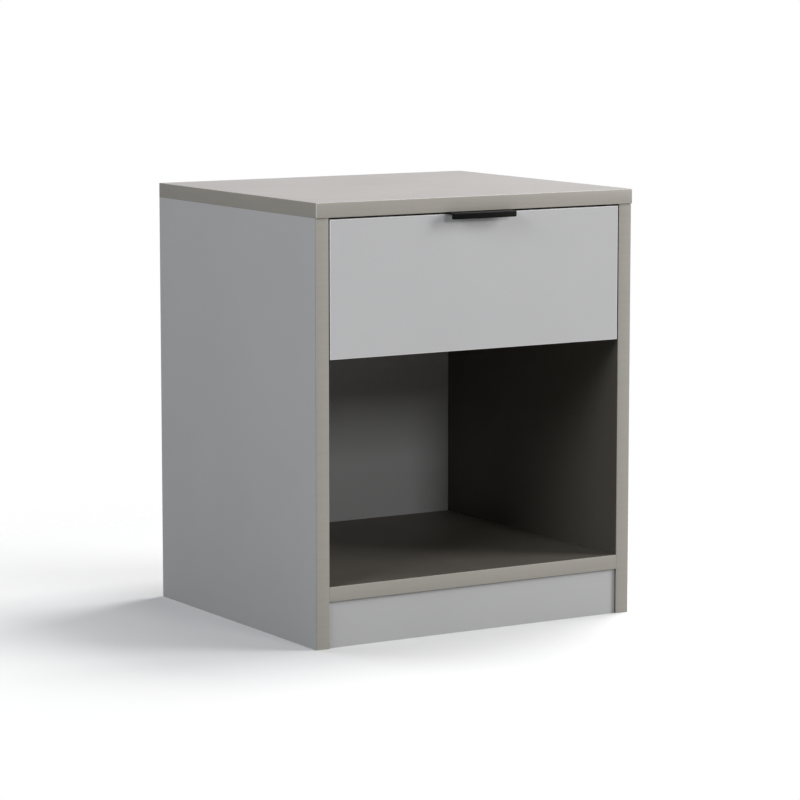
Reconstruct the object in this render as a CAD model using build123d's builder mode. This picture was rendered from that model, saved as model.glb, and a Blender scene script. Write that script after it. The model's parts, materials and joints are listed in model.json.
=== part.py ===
"""Side table with one drawer above an open shelf: flat-pack board furniture, in millimetres.

+X is right, +Y is towards the back and +Z is up, so the drawer opens towards -Y.
The origin is on the floor, at the middle of the whole table's footprint.
"""

import os
from typing import NamedTuple

from build123d import *

# Driving dimensions of the case
WIDTH = 400
HEIGHT = 472
SIDE_DEPTH = 350
BOARD = 16
EDGE_BAND = 0.8
TOP_OVERHANG = 2
SHELF_UNDERSIDE = 50
PLINTH_SETBACK = 3
BACK_BOARD = 3
BACK_INSET = 2

# Drawer
FRONT_SIDE_GAP = 1.5
FRONT_TOP_GAP = 2
FRONT_HEIGHT = 147
DRAWER_BOARD = 12
DRAWER_LENGTH = 300
DRAWER_SIDE_HEIGHT = 110
DRAWER_BASE = 320
BOTTOM_BOARD = 3
BOTTOM_RAISE = 10
GROOVE_SLACK = 0.1
SIDE_GROOVE = 4
FRONT_GROOVE = 6

# Edge pull, folded from sheet and hooked over the drawer front
PULL_WIDTH = 81
PULL_SHEET = 1.5
PULL_REACH = 14
PULL_LIP = 6.5
PULL_TAIL = 20
PULL_BEND = 0.25
PULL_SLACK = 0.1
PULL_CORNER = 1.5
PULL_SCREW_SPACING = 50
PULL_SCREW_DROP = 10

# Roller slides
SLIDE_SPACE = 13
SLIDE_LENGTH = 300
SLIDE_SETBACK = 2
STEEL = 1.2
ROLLER_RADIUS = 8.5
ROLLER_WIDTH = 5.2
ROLLER_INSET = 12
BOSS_RADIUS = 4.5
BOSS_GAP = 0.3
BOSS_LENGTH = 2.1
RUNNING_GAP = 0.3
RIVET_RADIUS = 2.5
RIVET_CLEARANCE = 0.05
RIVET_HEAD_RADIUS = 4
RIVET_HEAD = 0.8
TRACK_DROP = 3
TRACK_WIDTH = 8.6
TRACK_SPARE = 0.5
DRAWER_FLANGE = 8.8
FLANGE_GAP = 1
ROLLER_WINDOW = 24
TRAVEL = 220
STOP_HEIGHT = 3
STOP_LENGTH = 3
RAIL_SCREW_PLACES = (62, 158, 254)
CASE_SCREW_RISE = 9
DRAWER_SCREW_RISE = 5

# Cam fittings, dowels, screws and nails
CAM_REACH = 24
CAM_RADIUS = 7.5
CAM_DEPTH = 12.5
SMALL_CAM_RADIUS = 6
SMALL_CAM_DEPTH = 9.5
CAM_SLOT = 1.6
BOLT_CHANNEL = 4
BOLT_THREAD_RADIUS = 3
BOLT_THREAD = 10.5
BOLT_COLLAR = (3.8, 2)
BOLT_STEM = (2.75, 19)
BOLT_HEAD = (3.5, 5)
DOWEL_RADIUS = 4
DOWEL_LENGTH = 30
DOWEL_IN_FACE = 10
DOWEL_SLACK = 0.5
SCREW_RADIUS = 1.75
SCREW_HEAD = (3.5, 1.8)
NAIL_RADIUS = 0.7
NAIL_HEAD = (2.2, 0.8)
NAIL_LENGTH = 20
CAM_PLACES = (50, 300)
DOWEL_PLACES = (90, 260)
PLINTH_CAM_HEIGHT = 34
PLINTH_DOWEL_HEIGHT = 13
FRONT_CAM_RISE = 78
FRONT_DOWEL_RISE = 38
BACK_SCREW_RISES = (32, 92)
BACK_SCREW_LENGTH = 30
BOTTOM_NAIL_SPACING = 100
BACK_NAIL_SPACING = 130
SIDE_NAIL_SPACING = 117

# Planes and levels that follow from them
DEPTH = PULL_REACH + SIDE_DEPTH + BACK_BOARD + NAIL_HEAD[1]
FRONT = PULL_REACH - DEPTH / 2
REAR = FRONT + SIDE_DEPTH
SIDE_HEIGHT = HEIGHT - BOARD
INNER = WIDTH / 2 - BOARD
SIDE_MIDDLE = WIDTH / 2 - BOARD / 2
SHELF_MIDDLE = SHELF_UNDERSIDE + BOARD / 2
PLINTH_FRONT = FRONT + PLINTH_SETBACK

FRONT_HALF = INNER - FRONT_SIDE_GAP
FRONT_TOP = SIDE_HEIGHT - FRONT_TOP_GAP
FRONT_BASE = FRONT_TOP - FRONT_HEIGHT
FRONT_REAR = FRONT + BOARD
DRAWER_HALF = INNER - SLIDE_SPACE
DRAWER_INNER = DRAWER_HALF - DRAWER_BOARD
DRAWER_MIDDLE = DRAWER_HALF - DRAWER_BOARD / 2
DRAWER_TOP = DRAWER_BASE + DRAWER_SIDE_HEIGHT
DRAWER_REAR = FRONT_REAR + DRAWER_LENGTH
BOTTOM_LEVEL = DRAWER_BASE + BOTTOM_RAISE
BOTTOM_TOP = BOTTOM_LEVEL + BOTTOM_BOARD
BACK_MIDDLE = DRAWER_REAR - DRAWER_BOARD / 2

SLIDE_FRONT = FRONT_REAR + SLIDE_SETBACK
SLIDE_REAR = SLIDE_FRONT + SLIDE_LENGTH
TRACK_BASE = DRAWER_BASE - TRACK_DROP
TRACK_TOP = TRACK_BASE + STEEL
REAR_ROLLER_LEVEL = TRACK_TOP + RUNNING_GAP + ROLLER_RADIUS
TRACK_ROOF = REAR_ROLLER_LEVEL + ROLLER_RADIUS + TRACK_SPARE
FLANGE_LEVEL = TRACK_ROOF + STEEL + FLANGE_GAP
FRONT_ROLLER_LEVEL = FLANGE_LEVEL - RUNNING_GAP - ROLLER_RADIUS
FRONT_ROLLER_PLACE = SLIDE_FRONT + ROLLER_INSET
REAR_ROLLER_PLACE = SLIDE_REAR - ROLLER_INSET
CASE_RAIL_FACE = INNER - STEEL
DRAWER_RAIL_FACE = DRAWER_HALF + STEEL

SIDES = {"left": -1, "right": 1}
UP = Vector(0, 0, 1)
BACKWARDS = Vector(0, 1, 0)
RIGHT = Vector(1, 0, 0)


class CamJoint(NamedTuple):
    """A bolt that leaves one board's face and a cam in the other board that grips it."""

    start: Vector
    into: Vector
    cam_out: Vector
    board: float


def save(part, name):
    """Label a finished piece and write its file."""
    part.label = name
    export_step(part, f"parts/{name}.step")


def panel(x, y, z):
    """Add a rectangular board that fills the three spans."""
    with BuildSketch(Plane.XY.offset(min(z))) as outline:
        with Locations((sum(x) / 2, sum(y) / 2)):
            Rectangle(abs(x[1] - x[0]), abs(y[1] - y[0]))
    extrude(outline.sketch, amount=abs(z[1] - z[0]))


def rod(plane, radius, length):
    """Add a cylinder that stands on a plane."""
    with Locations(plane):
        Cylinder(radius, length, align=(Align.CENTER, Align.CENTER, Align.MIN))


def drill(points, out, radius, depth):
    """Drill blind holes from points on a face whose outward normal is given."""
    with Locations([Plane(origin=point, z_dir=out) for point in points]):
        Hole(radius, depth)


def groove(x, y, z):
    """Cut a rectangular groove that fills the three spans."""
    with Locations((sum(x) / 2, sum(y) / 2, sum(z) / 2)):
        Box(abs(x[1] - x[0]), abs(y[1] - y[0]), abs(z[1] - z[0]), mode=Mode.SUBTRACT)


def drill_cams(joints, radius, depth):
    """Drill the boards that hold cams: a cup for each cam and a channel for its bolt."""
    for joint in joints:
        centre = joint.start + joint.into * CAM_REACH
        drill([joint.start], -joint.into, BOLT_CHANNEL, CAM_REACH)
        drill([centre + joint.cam_out * (joint.board / 2)], joint.cam_out, radius, depth)


def add_cam(joint, radius, depth):
    """Add one cam: a short drum with a pocket for the bolt head and a cross slot."""
    centre = joint.start + joint.into * CAM_REACH
    face = Plane(origin=centre + joint.cam_out * (joint.board / 2), z_dir=joint.cam_out)
    rod(face.offset(-depth), radius, depth)
    drill([centre - joint.into * radius], -joint.into, BOLT_CHANNEL, radius + BOLT_CHANNEL)
    with Locations(face):
        Box(radius, CAM_SLOT, CAM_SLOT * 2, mode=Mode.SUBTRACT)
        Box(CAM_SLOT, radius, CAM_SLOT * 2, mode=Mode.SUBTRACT)


def add_bolt(joint):
    """Add one cam bolt: thread in the face, then collar, stem and head in the channel."""
    plane = Plane(origin=joint.start, z_dir=joint.into)
    rod(plane.offset(-BOLT_THREAD), BOLT_THREAD_RADIUS, BOLT_THREAD)
    height = 0
    for radius, length in (BOLT_COLLAR, BOLT_STEM, BOLT_HEAD):
        rod(plane.offset(height), radius, length)
        height += length


def drill_dowels(points, into, face=True):
    """Drill for dowels, either in the board whose face they leave or in the one they enter."""
    if face:
        drill(points, into, DOWEL_RADIUS, DOWEL_IN_FACE + DOWEL_SLACK)
    else:
        drill(points, -into, DOWEL_RADIUS, DOWEL_LENGTH - DOWEL_IN_FACE + DOWEL_SLACK)


def add_dowel(point, into):
    """Add one dowel that leaves a face and enters the other board's edge."""
    rod(Plane(origin=point - into * DOWEL_IN_FACE, z_dir=into), DOWEL_RADIUS, DOWEL_LENGTH)


def add_screw(plane, length, head=SCREW_HEAD, radius=SCREW_RADIUS):
    """Add a screw or nail whose flat head stands on a plane and whose shank goes below it."""
    rod(plane, *head)
    rod(plane.offset(-length), radius, length)


os.makedirs("parts", exist_ok=True)

# Where the boards are joined
top_joints = {
    name: [
        CamJoint(Vector(sign * SIDE_MIDDLE, FRONT + place, SIDE_HEIGHT), -UP, RIGHT * -sign, BOARD)
        for place in CAM_PLACES
    ]
    for name, sign in SIDES.items()
}
shelf_joints = {
    name: [
        CamJoint(Vector(sign * INNER, FRONT + place, SHELF_MIDDLE), RIGHT * -sign, -UP, BOARD)
        for place in CAM_PLACES
    ]
    for name, sign in SIDES.items()
}
plinth_joints = {
    name: [
        CamJoint(
            Vector(sign * INNER, PLINTH_FRONT + BOARD / 2, PLINTH_CAM_HEIGHT),
            RIGHT * -sign,
            BACKWARDS,
            BOARD,
        )
    ]
    for name, sign in SIDES.items()
}
top_dowels = {
    name: [Vector(sign * SIDE_MIDDLE, FRONT + place, SIDE_HEIGHT) for place in DOWEL_PLACES]
    for name, sign in SIDES.items()
}
shelf_dowels = {
    name: [Vector(sign * INNER, FRONT + place, SHELF_MIDDLE) for place in DOWEL_PLACES]
    for name, sign in SIDES.items()
}
plinth_dowels = {
    name: [Vector(sign * INNER, PLINTH_FRONT + BOARD / 2, PLINTH_DOWEL_HEIGHT)]
    for name, sign in SIDES.items()
}
front_joints = {
    name: CamJoint(
        Vector(sign * DRAWER_MIDDLE, FRONT_REAR, DRAWER_BASE + FRONT_CAM_RISE),
        BACKWARDS,
        RIGHT * sign,
        DRAWER_BOARD,
    )
    for name, sign in SIDES.items()
}
front_dowels = {
    name: Vector(sign * DRAWER_MIDDLE, FRONT_REAR, DRAWER_BASE + FRONT_DOWEL_RISE)
    for name, sign in SIDES.items()
}
back_screws = {
    name: [Vector(sign * DRAWER_HALF, BACK_MIDDLE, DRAWER_BASE + rise) for rise in BACK_SCREW_RISES]
    for name, sign in SIDES.items()
}
case_screws = {
    name: [
        Vector(sign * CASE_RAIL_FACE, SLIDE_FRONT + place, TRACK_TOP + CASE_SCREW_RISE)
        for place in RAIL_SCREW_PLACES
    ]
    for name, sign in SIDES.items()
}
drawer_screws = {
    name: [
        Vector(sign * DRAWER_RAIL_FACE, SLIDE_FRONT + place, DRAWER_BASE + DRAWER_SCREW_RISE)
        for place in RAIL_SCREW_PLACES
    ]
    for name, sign in SIDES.items()
}
case_screw_length = BOARD - 1
drawer_screw_length = DRAWER_BOARD - SIDE_GROOVE + STEEL
pull_screw_places = [
    Vector(x, FRONT_REAR + PULL_SLACK + PULL_SHEET, FRONT_TOP - PULL_SCREW_DROP)
    for x in (-PULL_SCREW_SPACING / 2, PULL_SCREW_SPACING / 2)
]
pull_screw_length = PULL_SHEET + BOARD - FRONT_GROOVE / 2
side_nails = {
    name: [
        Vector(sign * SIDE_MIDDLE, REAR, SHELF_MIDDLE + SIDE_NAIL_SPACING * step)
        for step in (0.5, 1.5, 2.5)
    ]
    for name, sign in SIDES.items()
}
top_nails = [Vector(BACK_NAIL_SPACING * step, REAR, HEIGHT - BOARD / 2) for step in (-1, 0, 1)]
shelf_nails = [Vector(BACK_NAIL_SPACING * step, REAR, SHELF_MIDDLE) for step in (-1, 0, 1)]
bottom_nails = [Vector(BOTTOM_NAIL_SPACING * step, BACK_MIDDLE, BOTTOM_LEVEL) for step in (-1, 0, 1)]
nail_grip = NAIL_LENGTH - BACK_BOARD

# ---------------------------------------------------------------- case boards

with BuildPart() as top_panel:
    core_half = WIDTH / 2 - EDGE_BAND
    panel(
        (-core_half, core_half), (FRONT - TOP_OVERHANG + EDGE_BAND, REAR), (SIDE_HEIGHT, HEIGHT)
    )
    for name in SIDES:
        drill([joint.start for joint in top_joints[name]], -UP, BOLT_THREAD_RADIUS, BOLT_THREAD)
        drill_dowels(top_dowels[name], -UP)
    drill(top_nails, BACKWARDS, NAIL_RADIUS, nail_grip)
save(top_panel.part, "top_panel")

with BuildPart() as top_front_edge_band:
    band_front = FRONT - TOP_OVERHANG
    panel(
        (-WIDTH / 2, WIDTH / 2), (band_front, band_front + EDGE_BAND), (SIDE_HEIGHT, HEIGHT)
    )
save(top_front_edge_band.part, "top_front_edge_band")

for name, sign in SIDES.items():
    with BuildPart() as top_end_edge_band:
        panel(
            (sign * (WIDTH / 2 - EDGE_BAND), sign * WIDTH / 2),
            (FRONT - TOP_OVERHANG + EDGE_BAND, REAR),
            (SIDE_HEIGHT, HEIGHT),
        )
    save(top_end_edge_band.part, f"top_{name}_edge_band")

for name, sign in SIDES.items():
    inwards = RIGHT * -sign
    with BuildPart() as side_panel:
        panel((sign * INNER, sign * WIDTH / 2), (FRONT + EDGE_BAND, REAR), (0, SIDE_HEIGHT))
        drill_cams(top_joints[name], CAM_RADIUS, CAM_DEPTH)
        drill_dowels(top_dowels[name], -UP, face=False)
        entries = [joint.start for joint in shelf_joints[name] + plinth_joints[name]]
        drill(entries, inwards, BOLT_THREAD_RADIUS, BOLT_THREAD)
        drill_dowels(shelf_dowels[name] + plinth_dowels[name], inwards)
        drill(case_screws[name], inwards, SCREW_RADIUS, case_screw_length)
        drill(side_nails[name], BACKWARDS, NAIL_RADIUS, nail_grip)
    save(side_panel.part, f"{name}_side_panel")

    with BuildPart() as side_edge_band:
        panel((sign * INNER, sign * WIDTH / 2), (FRONT, FRONT + EDGE_BAND), (0, SIDE_HEIGHT))
    save(side_edge_band.part, f"{name}_side_edge_band")

with BuildPart() as bottom_shelf:
    panel((-INNER, INNER), (FRONT + EDGE_BAND, REAR), (SHELF_UNDERSIDE, SHELF_UNDERSIDE + BOARD))
    for name, sign in SIDES.items():
        drill_cams(shelf_joints[name], CAM_RADIUS, CAM_DEPTH)
        drill_dowels(shelf_dowels[name], RIGHT * -sign, face=False)
    drill(shelf_nails, BACKWARDS, NAIL_RADIUS, nail_grip)
save(bottom_shelf.part, "bottom_shelf")

with BuildPart() as bottom_shelf_edge_band:
    panel((-INNER, INNER), (FRONT, FRONT + EDGE_BAND), (SHELF_UNDERSIDE, SHELF_UNDERSIDE + BOARD))
save(bottom_shelf_edge_band.part, "bottom_shelf_edge_band")

with BuildPart() as plinth:
    panel((-INNER, INNER), (PLINTH_FRONT, PLINTH_FRONT + BOARD), (0, SHELF_UNDERSIDE))
    for name, sign in SIDES.items():
        drill_cams(plinth_joints[name], CAM_RADIUS, CAM_DEPTH)
        drill_dowels(plinth_dowels[name], RIGHT * -sign, face=False)
save(plinth.part, "plinth")

with BuildPart() as back_panel:
    panel(
        (BACK_INSET - WIDTH / 2, WIDTH / 2 - BACK_INSET),
        (REAR, REAR + BACK_BOARD),
        (SHELF_UNDERSIDE + BACK_INSET, HEIGHT - BACK_INSET),
    )
    all_nails = side_nails["left"] + side_nails["right"] + top_nails + shelf_nails
    back_face = [point + BACKWARDS * BACK_BOARD for point in all_nails]
    drill(back_face, BACKWARDS, NAIL_RADIUS, BACK_BOARD)
save(back_panel.part, "back_panel")

# ------------------------------------------------------------ case fasteners

case_joints = [
    joint
    for group in (top_joints, shelf_joints, plinth_joints)
    for name in SIDES
    for joint in group[name]
]

with BuildPart() as cam_locks:
    for joint in case_joints:
        add_cam(joint, CAM_RADIUS, CAM_DEPTH)
save(cam_locks.part, "cam_locks")

with BuildPart() as cam_bolts:
    for joint in case_joints:
        add_bolt(joint)
save(cam_bolts.part, "cam_bolts")

with BuildPart() as wood_dowels:
    for name, sign in SIDES.items():
        for point in top_dowels[name]:
            add_dowel(point, -UP)
        for point in shelf_dowels[name] + plinth_dowels[name]:
            add_dowel(point, RIGHT * -sign)
save(wood_dowels.part, "wood_dowels")

with BuildPart() as back_panel_nails:
    for point in back_face:
        add_screw(Plane(origin=point, z_dir=BACKWARDS), NAIL_LENGTH, NAIL_HEAD, NAIL_RADIUS)
save(back_panel_nails.part, "back_panel_nails")

# --------------------------------------------------------------- drawer boards

with BuildPart() as drawer_front:
    core_half = FRONT_HALF - EDGE_BAND
    panel(
        (-core_half, core_half),
        (FRONT, FRONT_REAR),
        (FRONT_BASE + EDGE_BAND, FRONT_TOP - EDGE_BAND),
    )
    groove(
        (-DRAWER_INNER - SIDE_GROOVE, DRAWER_INNER + SIDE_GROOVE),
        (FRONT_REAR - FRONT_GROOVE, FRONT_REAR),
        (BOTTOM_LEVEL - GROOVE_SLACK, BOTTOM_TOP + GROOVE_SLACK),
    )
    entries = [joint.start for joint in front_joints.values()]
    drill(entries, BACKWARDS, BOLT_THREAD_RADIUS, BOLT_THREAD)
    drill_dowels(list(front_dowels.values()), BACKWARDS)
    screw_mouths = [point - BACKWARDS * PULL_SHEET for point in pull_screw_places]
    drill(screw_mouths, BACKWARDS, SCREW_RADIUS, pull_screw_length - PULL_SHEET)
save(drawer_front.part, "drawer_front")

for name, sign in SIDES.items():
    with BuildPart() as front_end_band:
        panel(
            (sign * (FRONT_HALF - EDGE_BAND), sign * FRONT_HALF),
            (FRONT, FRONT_REAR),
            (FRONT_BASE + EDGE_BAND, FRONT_TOP - EDGE_BAND),
        )
    save(front_end_band.part, f"drawer_front_{name}_edge_band")

front_bands = {"lower": FRONT_BASE, "upper": FRONT_TOP - EDGE_BAND}
for name, level in front_bands.items():
    with BuildPart() as front_long_band:
        panel((-FRONT_HALF, FRONT_HALF), (FRONT, FRONT_REAR), (level, level + EDGE_BAND))
    save(front_long_band.part, f"drawer_front_{name}_edge_band")

for name, sign in SIDES.items():
    outwards = RIGHT * sign
    with BuildPart() as drawer_side:
        panel(
            (sign * DRAWER_INNER, sign * DRAWER_HALF),
            (FRONT_REAR, DRAWER_REAR),
            (DRAWER_BASE, DRAWER_TOP),
        )
        groove(
            (sign * DRAWER_INNER, sign * (DRAWER_INNER + SIDE_GROOVE)),
            (FRONT_REAR, DRAWER_REAR),
            (BOTTOM_LEVEL - GROOVE_SLACK, BOTTOM_TOP + GROOVE_SLACK),
        )
        drill_cams([front_joints[name]], SMALL_CAM_RADIUS, SMALL_CAM_DEPTH)
        drill_dowels([front_dowels[name]], BACKWARDS, face=False)
        mouths = [point - outwards * STEEL for point in drawer_screws[name]]
        drill(mouths, outwards, SCREW_RADIUS, drawer_screw_length - STEEL)
        with Locations([Plane(origin=point, z_dir=outwards) for point in back_screws[name]]):
            CounterBoreHole(SCREW_RADIUS, SCREW_HEAD[0], SCREW_HEAD[1], DRAWER_BOARD)
    save(drawer_side.part, f"drawer_{name}_side")

with BuildPart() as drawer_back:
    panel(
        (-DRAWER_INNER, DRAWER_INNER),
        (DRAWER_REAR - DRAWER_BOARD, DRAWER_REAR),
        (BOTTOM_TOP, DRAWER_TOP),
    )
    for name, sign in SIDES.items():
        mouths = [point - RIGHT * sign * DRAWER_BOARD for point in back_screws[name]]
        drill(mouths, RIGHT * sign, SCREW_RADIUS, BACK_SCREW_LENGTH - DRAWER_BOARD)
    mouths = [point + UP * BOTTOM_BOARD for point in bottom_nails]
    drill(mouths, -UP, NAIL_RADIUS, nail_grip)
save(drawer_back.part, "drawer_back")

with BuildPart() as drawer_bottom:
    bottom_half = DRAWER_INNER + SIDE_GROOVE - GROOVE_SLACK
    panel(
        (-bottom_half, bottom_half),
        (FRONT_REAR - FRONT_GROOVE + GROOVE_SLACK, DRAWER_REAR),
        (BOTTOM_LEVEL, BOTTOM_TOP),
    )
    drill(bottom_nails, -UP, NAIL_RADIUS, BOTTOM_BOARD)
save(drawer_bottom.part, "drawer_bottom")

# ----------------------------------------------------------- drawer fasteners

with BuildPart() as drawer_cam_locks:
    for joint in front_joints.values():
        add_cam(joint, SMALL_CAM_RADIUS, SMALL_CAM_DEPTH)
save(drawer_cam_locks.part, "drawer_cam_locks")

with BuildPart() as drawer_cam_bolts:
    for joint in front_joints.values():
        add_bolt(joint)
save(drawer_cam_bolts.part, "drawer_cam_bolts")

with BuildPart() as drawer_dowels:
    for point in front_dowels.values():
        add_dowel(point, BACKWARDS)
save(drawer_dowels.part, "drawer_dowels")

with BuildPart() as drawer_back_screws:
    for name, sign in SIDES.items():
        for point in back_screws[name]:
            seat = Plane(origin=point, z_dir=RIGHT * sign).offset(-SCREW_HEAD[1])
            add_screw(seat, BACK_SCREW_LENGTH - SCREW_HEAD[1])
save(drawer_back_screws.part, "drawer_back_screws")

with BuildPart() as drawer_bottom_nails:
    for point in bottom_nails:
        add_screw(Plane(origin=point, z_dir=-UP), NAIL_LENGTH, NAIL_HEAD, NAIL_RADIUS)
save(drawer_bottom_nails.part, "drawer_bottom_nails")

# ------------------------------------------------------------------- edge pull

with BuildPart() as drawer_pull:
    lip_inner = FRONT - PULL_REACH + PULL_SHEET
    plate_level = FRONT_TOP + PULL_SLACK
    with BuildSketch(Plane.YZ.offset(-PULL_WIDTH / 2)):
        with BuildLine():
            FilletPolyline(
                (lip_inner, FRONT_TOP + PULL_SHEET - PULL_LIP),
                (lip_inner, plate_level),
                (FRONT_REAR + PULL_SLACK, plate_level),
                (FRONT_REAR + PULL_SLACK, FRONT_TOP - PULL_TAIL),
                radius=PULL_BEND,
            )
            offset(amount=PULL_SHEET, side=Side.LEFT)
        make_face()
    extrude(amount=PULL_WIDTH)
    with Locations([Plane(origin=point, z_dir=BACKWARDS) for point in pull_screw_places]):
        Hole(SCREW_RADIUS, PULL_SHEET)
    lip_corners = drawer_pull.edges().filter_by(Axis.Y).group_by(Axis.Y)[0].group_by(Axis.Z)[0]
    fillet(lip_corners, PULL_CORNER)
save(drawer_pull.part, "drawer_pull")

with BuildPart() as pull_screws:
    for point in pull_screw_places:
        add_screw(Plane(origin=point, z_dir=BACKWARDS), pull_screw_length)
save(pull_screws.part, "pull_screws")

# --------------------------------------------------------------- roller slides


def add_roller(plane):
    """Add a roller whose axis leaves a rail's face: a boss, a wheel, a bore and a recess."""
    rod(plane.offset(BOSS_GAP), BOSS_RADIUS, BOSS_LENGTH)
    rod(plane.offset(BOSS_GAP + BOSS_LENGTH), ROLLER_RADIUS, ROLLER_WIDTH)
    reach = BOSS_GAP + BOSS_LENGTH + ROLLER_WIDTH
    with Locations(plane.offset(reach)):
        CounterBoreHole(
            RIVET_RADIUS + RIVET_CLEARANCE,
            RIVET_HEAD_RADIUS + BOSS_GAP,
            RIVET_HEAD + BOSS_GAP,
            reach,
        )


def add_rivet(plane):
    """Add the rivet that a roller turns on, through the rail behind the plane."""
    reach = BOSS_GAP + BOSS_LENGTH + ROLLER_WIDTH
    rod(plane.offset(-STEEL), RIVET_RADIUS, STEEL + reach)
    rod(plane.offset(reach - RIVET_HEAD), RIVET_HEAD_RADIUS, RIVET_HEAD)


def case_roller_plane(sign):
    """The plane on a case rail's face that carries its front roller."""
    origin = (sign * CASE_RAIL_FACE, FRONT_ROLLER_PLACE, FRONT_ROLLER_LEVEL)
    return Plane(origin=origin, z_dir=(-sign, 0, 0))


def drawer_roller_plane(sign):
    """The plane on a drawer rail's face that carries its rear roller."""
    origin = (sign * DRAWER_RAIL_FACE, REAR_ROLLER_PLACE, REAR_ROLLER_LEVEL)
    return Plane(origin=origin, z_dir=(sign, 0, 0))


stop_contact = (ROLLER_RADIUS**2 - (ROLLER_RADIUS + RUNNING_GAP - STOP_HEIGHT) ** 2) ** 0.5
stop_rear = REAR_ROLLER_PLACE - TRAVEL - stop_contact - RUNNING_GAP

for name, sign in SIDES.items():
    with BuildPart() as case_rail:
        track_edge = sign * (CASE_RAIL_FACE - TRACK_WIDTH)
        web = (sign * CASE_RAIL_FACE, sign * INNER)
        flanges = (track_edge, sign * INNER)
        panel(web, (SLIDE_FRONT, SLIDE_REAR), (TRACK_BASE, TRACK_ROOF + STEEL))
        panel(flanges, (SLIDE_FRONT, SLIDE_REAR), (TRACK_BASE, TRACK_TOP))
        panel(flanges, (SLIDE_FRONT + ROLLER_WINDOW, SLIDE_REAR), (TRACK_ROOF, TRACK_ROOF + STEEL))
        panel(
            (track_edge, sign * CASE_RAIL_FACE),
            (stop_rear - STOP_LENGTH, stop_rear),
            (TRACK_TOP, TRACK_TOP + STOP_HEIGHT),
        )
        drill(case_screws[name], RIGHT * -sign, SCREW_RADIUS, STEEL)
        with Locations(case_roller_plane(sign)):
            Hole(RIVET_RADIUS, STEEL)
        outer_bends = (
            case_rail.edges()
            .filter_by(Axis.Y)
            .filter_by(lambda edge: abs(abs(edge.center().X) - INNER) < STEEL / 4)
        )
        fillet(outer_bends, STEEL / 2)
    save(case_rail.part, f"{name}_case_rail")

    with BuildPart() as drawer_rail:
        web = (sign * DRAWER_HALF, sign * DRAWER_RAIL_FACE)
        panel(web, (SLIDE_FRONT, SLIDE_REAR), (DRAWER_BASE - STEEL, FLANGE_LEVEL + STEEL))
        panel(
            (sign * DRAWER_INNER, sign * DRAWER_RAIL_FACE),
            (SLIDE_FRONT, SLIDE_REAR),
            (DRAWER_BASE - STEEL, DRAWER_BASE),
        )
        panel(
            (sign * DRAWER_HALF, sign * (DRAWER_RAIL_FACE + DRAWER_FLANGE)),
            (SLIDE_FRONT, SLIDE_REAR),
            (FLANGE_LEVEL, FLANGE_LEVEL + STEEL),
        )
        drill(drawer_screws[name], RIGHT * sign, SCREW_RADIUS, STEEL)
        with Locations(drawer_roller_plane(sign)):
            Hole(RIVET_RADIUS, STEEL)
        outer_bends = [
            drawer_rail.edges().filter_by(Axis.Y).sort_by_distance(corner)[0]
            for corner in (
                (sign * DRAWER_RAIL_FACE, 0, DRAWER_BASE - STEEL),
                (sign * DRAWER_HALF, 0, FLANGE_LEVEL + STEEL),
            )
        ]
        fillet(outer_bends, STEEL / 2)
    save(drawer_rail.part, f"{name}_drawer_rail")

    with BuildPart() as front_roller:
        add_roller(case_roller_plane(sign))
    save(front_roller.part, f"{name}_front_roller")

    with BuildPart() as rear_roller:
        add_roller(drawer_roller_plane(sign))
    save(rear_roller.part, f"{name}_rear_roller")

with BuildPart() as case_roller_rivets:
    for sign in SIDES.values():
        add_rivet(case_roller_plane(sign))
save(case_roller_rivets.part, "case_roller_rivets")

with BuildPart() as drawer_roller_rivets:
    for sign in SIDES.values():
        add_rivet(drawer_roller_plane(sign))
save(drawer_roller_rivets.part, "drawer_roller_rivets")

with BuildPart() as case_rail_screws:
    for name, sign in SIDES.items():
        for point in case_screws[name]:
            add_screw(Plane(origin=point, z_dir=RIGHT * -sign), case_screw_length)
save(case_rail_screws.part, "case_rail_screws")

with BuildPart() as drawer_rail_screws:
    for name, sign in SIDES.items():
        for point in drawer_screws[name]:
            add_screw(Plane(origin=point, z_dir=RIGHT * sign), drawer_screw_length)
save(drawer_rail_screws.part, "drawer_rail_screws")

print(f"front plane at y {FRONT:.3f}, whole depth {DEPTH:.1f}, drawer travel {TRAVEL}")
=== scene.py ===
"""Side table with one drawer above an open shelf, dressed around its packed frame.

Laid out as an add-on: the sizes and colours are properties, each group of pieces is an
operator, and a panel in the 3D view lists them. Lengths are in metres; +Z is up and the
drawer opens towards -Y.
"""

import json
import math

import bpy
from mathutils import Matrix, Vector


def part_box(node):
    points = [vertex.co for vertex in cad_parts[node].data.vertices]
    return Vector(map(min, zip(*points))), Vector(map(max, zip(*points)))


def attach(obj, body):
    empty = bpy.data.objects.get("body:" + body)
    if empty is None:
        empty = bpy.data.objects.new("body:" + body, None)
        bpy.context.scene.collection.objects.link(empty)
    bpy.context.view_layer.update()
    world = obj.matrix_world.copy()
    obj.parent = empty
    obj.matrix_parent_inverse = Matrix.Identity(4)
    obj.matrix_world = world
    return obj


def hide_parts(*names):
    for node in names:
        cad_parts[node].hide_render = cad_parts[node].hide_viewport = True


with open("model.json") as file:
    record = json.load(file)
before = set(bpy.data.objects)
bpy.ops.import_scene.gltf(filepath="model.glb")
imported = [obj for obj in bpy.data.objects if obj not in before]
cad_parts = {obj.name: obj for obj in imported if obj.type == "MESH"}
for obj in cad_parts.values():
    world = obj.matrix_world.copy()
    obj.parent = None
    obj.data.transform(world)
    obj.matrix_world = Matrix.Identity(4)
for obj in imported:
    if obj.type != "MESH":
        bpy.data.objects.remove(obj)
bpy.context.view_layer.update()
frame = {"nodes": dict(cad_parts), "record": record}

bl_info = {
    "name": "Side table with drawer",
    "version": (1, 0, 0),
    "blender": (4, 5, 0),
    "location": "3D View > Sidebar > Side Table",
    "description": "Finishes, edge bands, pull, slides and fasteners of a small board side table",
    "category": "Object",
}

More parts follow.
